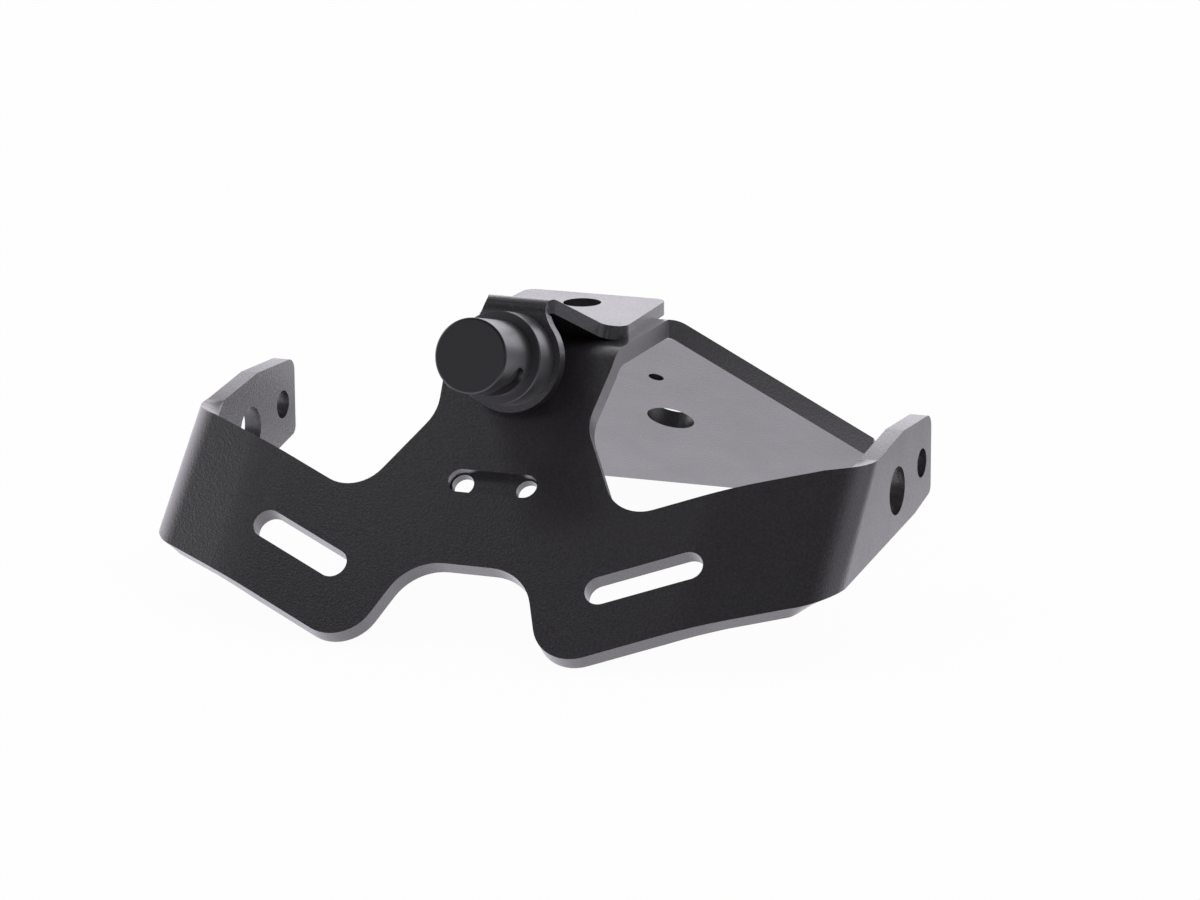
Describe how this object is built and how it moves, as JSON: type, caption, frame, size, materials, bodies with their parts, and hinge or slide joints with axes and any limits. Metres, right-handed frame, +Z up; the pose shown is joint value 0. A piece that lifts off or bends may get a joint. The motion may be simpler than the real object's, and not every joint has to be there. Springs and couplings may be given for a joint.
{
  "type": "license plate holder",
  "caption": "Folded black sheet bracket that carries a motorbike's number plate on slotted arms, with side wings, a tail tray and a round plate light.",
  "frame": {"origin": "middle of the footprint, on the ground that the two lobes and the tray's far edge stand on", "axes": "+X to the right as seen from the front face, +Y from the front face to the tray, +Z up"},
  "size_m": [0.1558, 0.1518, 0.0688],
  "materials": {
    "coated_sheet": "fine-textured satin powder coat, black",
    "light_shell": "satin black anodised",
    "smoked_lens": "smoked clear plastic",
    "circuit_board": "white solder mask",
    "lamp_chip": "clear over phosphor",
    "zinc_steel": "zinc plated"
  },
  "bodies": {
    "root": {"hanger_plate": "coated_sheet", "light_bracket": "coated_sheet", "light_base": "light_shell", "light_cap": "light_shell", "light_lens": "smoked_lens", "light_board": "circuit_board", "light_leds": "lamp_chip", "stud_washer": "zinc_steel", "stud_nut": "zinc_steel"}
  },
  "joints": []
}
